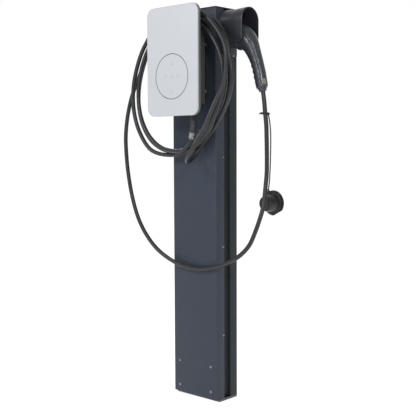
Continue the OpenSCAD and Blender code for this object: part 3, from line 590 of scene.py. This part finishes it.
# Each turn's nearest and farthest places: angle in degrees, radius from the middle, and lane in Y.
TURNS = [
    (250, 207, -111), (165, 188, -106), (68, 220, -108), (-32, 180, -101), (-80, 203, -98),
    (-130, 221, -92), (-203, 197, -93), (-292, 230, -93), (-350, 190, -87), (-392, 169, -85),
    (-440, 202, -83), (-484, 243, -99), (-563, 212, -106), (-622, 230, -107), (-664, 252, -88),
    (-712, 215, -85),
]
BIGHT = [
    (183, -85, 1015), (163, -81, 979), (136, -75, 946), (103, -68, 910), (80, -64, 888), (61, -64, 869),
    (45, -68, 850), (34, -87, 822), (38, -116, 804), (56, -146, 803), (81, -165, 821), (102, -166, 849),
    (112, -160, 872), (121, -153, 890), (131, -147, 909), (144, -139, 946), (164, -125, 1001),
]
LAST_TURN = [
    (4, 210, -119), (32, 246, -118), (58, 256, -118), (74, 257, -117), (90, 252, -112), (105, 245, -103),
    (120, 230, -90), (135, 217, -84),
]
LOOP = [
    (-210, -82, 1130), (-234, -83, 1085), (-254, -84, 1050), (-268, -85, 1022), (-281, -87, 980),
    (-290, -88, 940), (-296, -89, 885), (-295, -88, 825), (-288, -87, 760), (-270, -85, 675),
    (-243, -82, 600), (-205, -79, 543), (-153, -75, 495), (-82, -68, 459), (-20, -66, 446),
    (36, -65, 445), (105, -64, 458), (167, -65, 481), (208, -62, 506), (236, -53, 538),
    (254, -43, 584), (262, -34, 618), (266, -27, 642),
]
DROP = [
    (267, -19, 668), (266, -12, 697), (265, -6, 728), (265, -1, 763), (265, 0, 812), (264, 0, 870),
    (262, 0, 921), (258, 0, 953), (254, 0, 991), (249, 0, 1022), (247, 0, 1030),
]


def coil_points(places):
    """Points of the hanging turns, eased from each place to the next: r = r0 + (r1 - r0)(3t^2 - 2t^3)."""
    line = []
    for (a0, r0, y0), (a1, r1, y1) in zip(places, places[1:] + places[-1:]):
        count = max(1, round(abs(a1 - a0) / 18))
        for k in range(count):
            t = k / count
            ease = t * t * (3 - 2 * t)
            angle = math.radians(a0 + (a1 - a0) * t)
            radius = r0 + (r1 - r0) * ease
            line.append((COIL_MIDDLE[0] + radius * math.cos(angle), y0 + (y1 - y0) * ease,
                         COIL_MIDDLE[1] + radius * math.sin(angle)))
    return line


def cable_line():
    """The cable's middle line from the gland, round the coil and the loop, to the connector."""
    knots = LEAD + coil_points(TURNS) + BIGHT + coil_points(LAST_TURN) + LOOP + DROP
    return even(smooth_path(knots, 12) * MM, 4 * MM)


LINE = cable_line()
COLLAR_END = int(np.argmax(LINE[:, 2] < 0.8815))


def make_cable():
    """The free cable from the post to the connector, and its core in the charger."""
    free = LINE[COLLAR_END:]
    cable = surface("charging_cable", tube_grid(free, CABLE_R, 20), "cable_rubber", None)
    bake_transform(cable)
    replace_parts(cable, "cable_coil", "cable_bight", "cable_loop", "cable_drop")
    top = np.array([[LINE[0, 0], LINE[0, 1], 1.044]])
    core_line = even(np.vstack([top, LINE[:COLLAR_END - 1]]), 5 * MM)
    core = surface("cable_core", tube_grid(core_line, CABLE_R, 20), "cable_rubber", "post")
    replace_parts(core, "cable_lead")
    return cable, free


# ---- post ----
def make_post():
    """Front cover, rear profile and top cap, each with its folded edges."""
    front, lip = cover_lo[1], cover_hi[1]
    lip_x = GROOVE_X + 0.3 * MM
    outline = bent_sheet([(lip_x, lip), (HALF_W, lip), (HALF_W, front), (-HALF_W, front), (-HALF_W, lip),
                          (-lip_x, lip)], inner_left=False)
    cover = slab("front_cover_sheet", outline, cover_lo[2], cover_hi[2], 0.3 * MM, "XY",
                 "front_paint", "post")
    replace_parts(cover, "front_cover")
    back, step, floor_y = rear_hi[1], rear_hi[1] - 34 * MM, rear_lo[1]
    inner = GROOVE_X - 22 * MM
    half = [(inner, floor_y), (GROOVE_X, floor_y), (GROOVE_X, step), (HALF_W, step), (HALF_W, back)]
    outline = bent_sheet(half + [(-x, y) for x, y in half[::-1]], inner_left=True)
    rear = slab("rear_profile_sheet", outline, rear_lo[2], rear_hi[2], 0.3 * MM, "XY", "rear_paint", "post")
    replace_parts(rear, "rear_profile")
    low, high = (np.array(c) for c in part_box("top_cap"))
    corners = [(low[0], low[1]), (high[0], low[1]), (high[0], high[1]), (low[0], high[1])]
    outline = rounded_line(corners, 2.8 * MM)
    top = slab("top_cap_plate", outline, cover_hi[2] + 0.1 * MM, high[2], 0.9 * MM, "XY",
               "rear_paint", "post")
    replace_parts(top, "top_cap")


def button_head(spot, axis, radius, height):
    """A domed screw head with a hexagon socket: the dome r = R cos t, h = H sin t down to a flat
    crown, and a socket whose wall is the hexagon r = a / cos(t - nearest flat)."""
    turn = np.linspace(0, math.pi / 3, 9)
    dome = [(radius * math.cos(t * 0.95), height * math.sin(t * 1.15)) for t in turn]
    rows = [(radius, -0.6 * height)] + dome
    socket = 0.42 * radius
    rows += [(socket * 1.12, height * 0.95), (socket, height * 0.85),
             (socket * 0.96, 0.25 * height), (0.05 * socket, 0.2 * height)]
    sides = 48
    angle = np.linspace(0, 2 * math.pi, sides, endpoint=False) % (math.pi / 3) - math.pi / 6
    hexagon = np.cos(math.pi / 6) / np.cos(angle) - 1
    relief = np.zeros((len(rows), sides))
    relief[-3:] = hexagon * np.array([r for r, _ in rows[-3:]])[:, None]
    return turned_grid(rows, spot, axis, sides, relief)


def make_screws():
    """Four screws at the foot of the cover, and one beside each clip."""
    foot = [button_head((s * FOOT_SCREW_X, cover_lo[1], z), (0, -1, 0), 5.2 * MM, 2.6 * MM)
            for s in (-1, 1) for z in FOOT_SCREW_Z]
    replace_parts(joined("foot_screw_set", foot, "zinc_steel", "post"), "foot_screws")
    clip_y = cover_hi[1] - 5 * MM
    side = [button_head((s * HALF_W, clip_y, z), (s, 0, 0), 3.4 * MM, 1.4 * MM)
            for s in (-1, 1) for z in SIDE_SCREW_Z]
    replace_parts(joined("side_screw_set", side, "zinc_steel", "post"), "side_screws")


# ---- charger ----
def panel_outline():
    """The front panel's rounded rectangle in X and Z."""
    x, z0, z1 = panel_hi[0], panel_lo[2], panel_hi[2]
    return rounded_line([(-x, z0), (x, z0), (x, z1), (-x, z1)], 27 * MM, steps=20)


def ring_shell(name, middle, radius, line, low, high, look):
    """A flat ring turned about Y: a rounded rectangle as its section."""
    section = rounded_line([(radius - line / 2, low), (radius + line / 2, low), (radius + line / 2, high),
                            (radius - line / 2, high)], 0.25 * MM, steps=4)
    grid = turned_grid(section, middle, (0, 1, 0), 160)
    return surface(name, np.swapaxes(grid, 0, 1), look, "post", wrap=True)


def bar(x0, z0, x1, z1, front, back):
    """Rings of one small rounded bar or pad in an icon, its face towards -Y."""
    corner = min(x1 - x0, z1 - z0) * 0.42
    outline = rounded_line([(x0, z0), (x1, z0), (x1, z1), (x0, z1)], corner, steps=6)
    return np.stack([placed(offset(outline, inset), y, "XZ")
                     for inset, y in [(0.15 * MM, front), (0, front + 0.15 * MM), (0, back)]])


def make_panel():
    """The panel with its soft edge, the ring and the icons let into it, and the band behind."""
    outline = panel_outline()
    front, back = panel_lo[1], panel_hi[1]
    rows = rim(3.2 * MM, front, 1, 10)
    rows += [(0, back - 0.4 * MM), (0.4 * MM, back), (4 * MM, back), (4 * MM, front + 3 * MM)]
    panel = shell("panel_shell", outline, rows, "XZ", "panel_plastic", "post")
    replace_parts(panel, "front_panel")
    ring_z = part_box("status_ring")[0][2] + 73.5 * MM
    ring = ring_shell("ring_light", (0, 0, ring_z), 72 * MM, 2.6 * MM, front - 0.12 * MM,
                      front + 1.9 * MM, "ring_lens")
    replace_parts(ring, "status_ring")
    f, b = front - 0.1 * MM, front + 2 * MM
    bars = [(-6, 32, -4.2, 44), (4.2, 32, 6, 44), (-6, 37.1, 6, 38.9)]
    bars += [(x - 5, y, x + 5, y + 1.6) for x in (-27, 0, 27) for y in (-4.4, -0.8, 2.8)]
    bars += [(-6, -52, -4.4, -40), (4.4, -52, 6, -40), (-6, -52, 6, -50.4),
             (-6, -41.6, -1.6, -40), (1.6, -41.6, 6, -40)]
    grids = [bar(x0 * MM, ring_z + z0 * MM, x1 * MM, ring_z + z1 * MM, f, b) for x0, z0, x1, z1 in bars]
    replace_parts(joined("icon_marks", grids, "icon_lens", "post"), "status_icons")
    y0, y1 = band_lo[1], band_hi[1]
    rows = [(4 * MM, y1 - 2.5 * MM), (4 * MM, y0 + 0.2 * MM), (3.8 * MM, y0)]
    rows += rim(0.6 * MM, y0, 1, 4) + rim(2 * MM, y1, -1, 6)
    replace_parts(shell("panel_band", outline, rows, "XZ", "frame_plastic", "post"), "panel_frame")


# ---- gland's sleeve and collar ----
def make_sleeve():
    """A bent sleeve with a spiral rib: r = a + b s(turns u + t / 2pi), where s is a rounded square
    wave, tapering to the collar."""
    top = int(np.argmax(LINE[:, 2] < gland_lo[2] + 1 * MM))
    collar = int(np.argmax(LINE[:, 2] < 0.8945))
    line = even(LINE[top:collar + 1], 0.45 * MM)
    u = np.linspace(0, 1, len(line))[:, None]
    sides = 72
    t = np.linspace(0, 1, sides, endpoint=False)[None, :]
    wave = 0.5 + 0.5 * np.tanh(3.2 * np.sin(2 * math.pi * (10 * u - t))) / math.tanh(3.2)
    ends = np.clip(np.minimum(u, 1 - u) / 0.03, 0, 1)
    radius = (7.6 + 3.9 * wave * ends * (1 - 0.1 * u)) * MM
    sleeve = surface("kink_sleeve", tube_grid(line, radius, sides), "sleeve_rubber", "post")
    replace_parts(sleeve, "cable_sleeve")
    line = even(LINE[collar - 1:COLLAR_END + 2], 0.5 * MM)
    u = np.linspace(0, 1, len(line))
    band = np.abs(np.cos(3 * math.pi * u)) ** 0.25
    edge = np.sqrt(np.clip(1 - (2 * np.abs(u - 0.5)) ** 14, 0.2, 1))
    ring = surface("collar_band", tube_grid(line, (9.6 + 1.5 * band) * edge * MM, 64), "zinc_steel", "post")
    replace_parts(ring, "sleeve_collar")


# ---- holster ----
def make_holster():
    """The back plate, and the arched hood that flares towards its open end."""
    z = hood_hi[2] - 42 * MM
    corners = [(-42, 1186), (-10, 1164), (21, 1144), (49, 1144), (49, 1262), (30, 1291), (-42, 1291)]
    radii = np.array([6, 12, 10, 5, 10, 24, 40]) * MM
    outline = rounded_line(np.array(corners) * MM, radii, steps=10)
    plate = slab("holster_back", outline, plate_lo[0], plate_hi[0], 1 * MM, "YZ", "holster_plastic", "post")
    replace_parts(plate, "holster_plate")
    wall, corner = 3 * MM, 16 * MM
    length = hood_hi[0] - hood_lo[0]
    share = np.r_[0, 0.01, np.linspace(0.03, 0.8, 24), 1 - 0.2 * np.cos(np.linspace(0, math.pi / 2, 18))[1:]]
    arch = np.linspace(0, 1, 97)

    def arch_line(radius, foot):
        """From the front foot up, over the arch and down to the back foot, in Y and Z."""
        straight = z - foot
        total = 2 * straight + math.pi * radius
        s = arch * total
        angle = np.clip((s - straight) / radius, 0, math.pi)
        y = -radius * np.cos(angle)
        falling = np.where(s > total - straight, foot + total - s, z + radius * np.sin(angle))
        height = np.where(s < straight, foot + s, falling)
        return np.stack([y, height], 1)

    rings = []
    for k, u in enumerate(share):
        flare = 1.6 * MM * u ** 3 - 1.2 * MM * math.sin(math.pi * min(1, u / 0.8)) ** 2
        near_end = max(0.0, (u * length - (length - corner)) / corner)
        foot = hood_lo[2] + corner * (1 - math.sqrt(max(0.0, 1 - near_end ** 2)))
        radius = 42 * MM + flare - 0.3 * MM
        lip = 0.6 * MM * max(0.0, (u - 0.93) / 0.07)
        outer = arch_line(radius - (0.6 * MM if u == 1 else 0), foot)
        inner = arch_line(radius - wall - lip + (0.6 * MM if u == 1 else 0), foot)
        rings.append(placed(np.vstack([outer, inner[::-1]]), hood_lo[0] + u * length, "YZ"))
    hood = surface("holster_arch", np.array(rings), "holster_plastic", "post", caps="flat", angle=50)
    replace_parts(hood, "holster_hood")


# ---- connector ----
HANDLE_LINE = [
    (150, 0, 1199), (155, 0, 1199), (162, 0, 1198.6), (172, 0, 1195), (184, 0, 1187), (196, 0, 1174),
    (208, 0, 1153), (219, 0, 1129), (228, 0, 1104), (235, 0, 1080), (240, 0, 1058), (246, 0, 1034),
]
# Half height in the handle's own plane, and half width across it, at each point of its line.
HANDLE_HALF_HEIGHT = [37, 40, 41, 39, 34, 29, 24, 21, 20, 20, 19.5, 18.5]
HANDLE_HALF_WIDTH = [33, 35, 35.5, 34, 31, 27.5, 23, 20, 18.5, 18.5, 18.5, 18]


def handle_frame():
    """The handle's middle line, its outward direction in its own plane, and its two half sizes."""
    line = smooth_path(HANDLE_LINE, 14) * MM
    heading = np.gradient(line, axis=0)
    heading /= np.linalg.norm(heading, axis=1)[:, None]
    out = np.cross(heading, (0, 1, 0))
    places = np.linspace(0, len(HANDLE_LINE) - 1, len(line))
    knots = np.arange(len(HANDLE_LINE))
    high = np.interp(places, knots, HANDLE_HALF_HEIGHT)
    wide = np.interp(places, knots, HANDLE_HALF_WIDTH)
    kernel = np.hanning(15) / np.hanning(15).sum()
    high, wide = (np.convolve(np.pad(v, 7, mode="edge"), kernel, mode="valid") for v in (high, wide))
    return line, out, high * MM, wide * MM


def handle_shell(side):
    """Half of the handle: p + (a cos t + ridges) out + b sin t y, with a raised back band where
    t is under 52 degrees and finger ridges on the inner side, and the same again inside."""
    line, out, high, wide = handle_frame()
    count = len(line)
    t = np.linspace(0, math.pi, 81)
    band = 0.5 - 0.5 * np.tanh((t - math.radians(52)) / 0.05)
    valley = np.exp(-((t - math.radians(55)) / 0.07) ** 2)
    place = line[:, 2]
    along = np.clip((place - 1.052) / 0.010, 0, 1) * np.clip((1.128 - place) / 0.014, 0, 1)
    fingers = 1.5 * MM * along * np.cos(2 * math.pi * (place - 1.052) / 0.0185)
    inner_side = np.clip(-np.cos(t), 0, 1) ** 2
    seam = np.where((t < 0.01) | (t > math.pi - 0.01), 0.5 * MM, 0)
    back = np.clip(np.arange(count) / 30, 0, 1) * np.clip((count - 1 - np.arange(count)) / 6, 0, 1)
    lift = back[:, None] * (0.9 * band - 1.5 * valley)[None] * MM + fingers[:, None] * inner_side - seam
    round_in = 3 * MM * (1 - np.sqrt(np.clip(1 - (1 - np.clip(np.arange(count) / 8, 0, 1)) ** 2, 0, 1)))
    to_end = np.clip((count - 1 - np.arange(count)) / 5, 0, 1)
    end_in = 1.5 * MM * (1 - np.sqrt(np.clip(1 - (1 - to_end) ** 2, 0, 1)))

    def arc(inset, relief):
        a = (high - round_in - end_in - inset)[:, None] + relief
        b = (wide - round_in - end_in - inset)[:, None] + relief
        bulge = np.abs(np.sin(t)) ** 0.9 * np.sign(np.sin(t))
        return (line[:, None] + (a * np.cos(t))[..., None] * out[:, None]
                + (b * bulge)[..., None] * np.array([0, side, 0.0]))

    outer = arc(0, lift)
    inner = arc(3 * MM, 0 * lift)
    grid = np.concatenate([outer, inner[:, ::-1]], axis=1)
    name = "handle_shell_" + ("left" if side < 0 else "right")
    piece = surface(name, grid, "handle_plastic", "connector", caps="flat", angle=50)
    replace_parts(piece, "handle_left" if side < 0 else "handle_right")
    return piece


def make_nut():
    """The nut that grips the cable: flutes r = a + d |cos 9t| along its grip, and a plain lip."""
    base, axis = np.array((246, 0, 1034)) * MM, (0.2419, 0, -0.9703)
    corners = [(7.2, 0), (15, 0), (14.2, 4.5), (12.8, 5.2), (11.8, 11.5), (7.2, 12)]
    profile = rounded_line(np.array(corners) * MM,
                           np.array([0, 0.8, 0.5, 0.5, 0.8, 0]) * MM, steps=5)
    sides = 90
    turn = np.linspace(0, 2 * math.pi, sides, endpoint=False)
    grip = ((profile[:, 0] > 10 * MM) & (profile[:, 1] > 4.8 * MM)).astype(float)
    relief = -0.7 * MM * grip[:, None] * np.abs(np.cos(9 * turn))[None]
    grid = turned_grid(profile, base, axis, sides, relief)
    nut = surface("cable_nut", grid, "handle_plastic", "connector", wrap=True)
    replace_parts(nut, "strain_nut")
    return nut


def make_label():
    """A blank film on the handle's back band: p + (a cos t + h) out - (b sin t + h) y, over a few
    degrees of t."""
    line, out, high, wide = handle_frame()
    spots = [k for k in range(len(line)) if 1.040 < line[k, 2] < 1.059]
    t = np.radians(np.linspace(4, 34, 11))
    skins = []
    for lift in (1.3 * MM, 0.6 * MM):
        rise = ((high[spots][:, None] + lift) * np.cos(t))[..., None]
        side = ((wide[spots][:, None] + lift) * np.sin(t))[..., None]
        skins.append(line[spots][:, None] + rise * out[spots][:, None] - side * np.array([0, 1.0, 0]))
    grid = np.concatenate([skins[0], skins[1][:, ::-1]], axis=1)
    label = surface("handle_film", grid, "label_film", "connector", caps="flat")
    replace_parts(label, "handle_label")
    return label


# ---- dust cap ----
def make_tie():
    """The tie round the cable: a moulded band, a knotted lump with a pointed tail, and a peg."""
    ring_z = 0.953
    middle = np.array((0.258, 0, ring_z))
    corners = [(7.3, -2.6), (9.8, -2.6), (9.8, 2.6), (7.3, 2.6)]
    section = rounded_line(np.array(corners) * MM, 0.9 * MM, steps=5)
    band = np.swapaxes(turned_grid(section, middle, (0, 0, 1), 64), 0, 1)
    tie = surface("cable_tie", band, "cap_rubber", "connector", wrap=True)
    tail_route = [(253, -6, 953), (248, -8.5, 954.5), (244, -10, 953), (241, -11, 951)]
    tail_line = smooth_path(np.array(tail_route) * MM, 8)
    tail_r = np.interp(np.linspace(0, 1, len(tail_line)), [0, 0.3, 0.55, 1], [2.6, 3.4, 2.6, 0.4]) * MM
    knot_route = [(262, -7, 951), (258, -9.6, 953.5), (253, -8.5, 955), (250, -6, 951.5)]
    knot_line = smooth_path(np.array(knot_route) * MM, 8)
    knot_r = np.interp(np.linspace(0, 1, len(knot_line)), [0, 0.5, 1], [1.6, 3.0, 1.6]) * MM
    peg = rounded_line(np.array([(0.1, 0), (2, 0), (2, 6.6), (3.2, 6.8), (3.2, 8.2), (0.1, 8.6)]) * MM,
                       np.array([0, 0, 0, 0.4, 0.6, 0]) * MM)
    grids = [tube_grid(tail_line, tail_r, 24), tube_grid(knot_line, knot_r, 24),
             turned_grid(peg, (0.2605, 0.0086, ring_z), (0, 1, 0), 40)]
    knot = joined("tie_knot", grids, "cap_rubber", "connector")
    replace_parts(tie, "tie_ring")
    return [tie, knot]


STRAP = [
    (260.5, 12.5, 950), (265, 13, 932), (267, 16, 895), (264.5, 20, 850), (258, 27, 805),
    (251, 34, 768), (243, 41, 735), (235, 47, 711.5),
]
# The cap hangs turned about Y, so that its lug points up and to the left, away from its flat.
CAP_MIDDLE = np.array((252, 54, 668)) * MM
CAP_UP = np.array((-math.sin(math.radians(28)), 0, math.cos(math.radians(28))))
CAP_ACROSS = np.array((CAP_UP[2], 0, -CAP_UP[0]))


def cap_flat(across, up):
    """Points in the cap's own plane, as X and Z."""
    spots = CAP_MIDDLE + np.outer(across, CAP_ACROSS) * MM + np.outer(up, CAP_UP) * MM
    return spots[:, [0, 2]]


def make_cap():
    """The dust cap: a cup turned about Y, its flange cut flat below, on a round strap."""
    line = even(smooth_path(STRAP, 16) * MM, 1.5 * MM)
    strap_piece = surface("cap_strap_cord", tube_grid(line, 2 * MM, 20), "cap_rubber", "cap")
    section = rounded_line(np.array([(2.15, -2), (4.6, -2), (4.6, 2), (2.15, 2)]) * MM, 0.7 * MM, steps=4)
    eye = turned_grid(section, (0.2605, 0.0125, 0.953), (0, 1, 0), 48)
    eye_piece = surface("cap_strap_eye", np.swapaxes(eye, 0, 1), "cap_rubber", "cap", wrap=True)
    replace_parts(strap_piece, "cap_strap")
    corners = [(0.3, 0), (18, 0), (24, 3), (26, 12), (27.5, 24), (28.5, 45.5), (41, 46.2), (41, 50),
               (26.5, 50), (26.5, 44), (25, 22), (21, 8), (0.3, 5)]
    radii = [0, 7, 6, 8, 14, 3.5, 1.4, 1.4, 0.8, 2, 9, 8, 0]
    profile = rounded_line(np.array(corners) * MM, np.array(radii) * MM, steps=8)
    grid = turned_grid(profile, CAP_MIDDLE - np.array((0, 50, 0)) * MM, (0, 1, 0), 160)
    below = -(grid - CAP_MIDDLE) @ CAP_UP
    grid += np.maximum(below - 36 * MM, 0)[..., None] * CAP_UP
    cup = surface("dust_cap", grid, "cap_rubber", "cap")
    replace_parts(cup, "cap_cup")
    mouth_y = CAP_MIDDLE[1]
    lug = rounded_line(cap_flat([-6, 6, 5, 0, -5], [28, 28, 47, 50, 47]), np.array([1, 1, 3, 4, 3]) * MM)
    lug_piece = slab("cap_lug", lug, mouth_y - 9 * MM, mouth_y - 3 * MM, 0.8 * MM, "XZ", "cap_rubber", "cap")
    corners = [(0.1, -4.4), (2.8, -4.2), (2.8, -3.1), (1.5, -3), (1.5, 3), (2.8, 3.1), (2.8, 4.2),
               (0.1, 4.4)]
    head = rounded_line(np.array(corners) * MM, np.array([0, 0.5, 0.3, 0, 0, 0.3, 0.5, 0]) * MM)
    rivet_at = CAP_MIDDLE + CAP_UP * 44.5 * MM - np.array((0, 6, 0)) * MM
    rivet = surface("cap_rivet", turned_grid(head, rivet_at, (0, 1, 0), 40), "zinc_steel", "cap")
    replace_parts(rivet, "strap_rivet")
    corners = [(0.1, 0.8), (2.4, 0.8), (2.4, 0.1), (4.2, 0.1), (4.2, 1.2), (3, 1.4), (0.1, -1)]
    stud = rounded_line(np.array(corners) * MM, np.array([0, 0.2, 0.2, 0.4, 0.3, 0, 0]) * MM)
    studs = [turned_grid(stud * np.array((1, -1)), CAP_MIDDLE + (CAP_UP * up + CAP_ACROSS * across) * MM
                         - np.array((0, 3.4, 0)) * MM, (0, 1, 0), 40)
             for across, up in [(26, 24), (24, -24), (-30, -15)]]
    stud_piece = joined("cap_studs", studs, "cap_rubber", "cap")
    return [strap_piece, eye_piece, cup, lug_piece, rivet, stud_piece]


# ---- the whole object ----
add_camera()
add_studio()
cable_piece, free_line = make_cable()
for node, look in KEPT.items():
    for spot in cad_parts[node].material_slots:
        spot.material = LOOKS[look]
make_post()
make_screws()
make_panel()
make_sleeve()
make_holster()
on_cable = [handle_shell(-1), handle_shell(1), make_nut(), make_label(), *make_tie(), *make_cap()]
on_cable += ["plug_shroud", "plug_insert", "plug_contacts", "plug_seal", "handle_screws"]
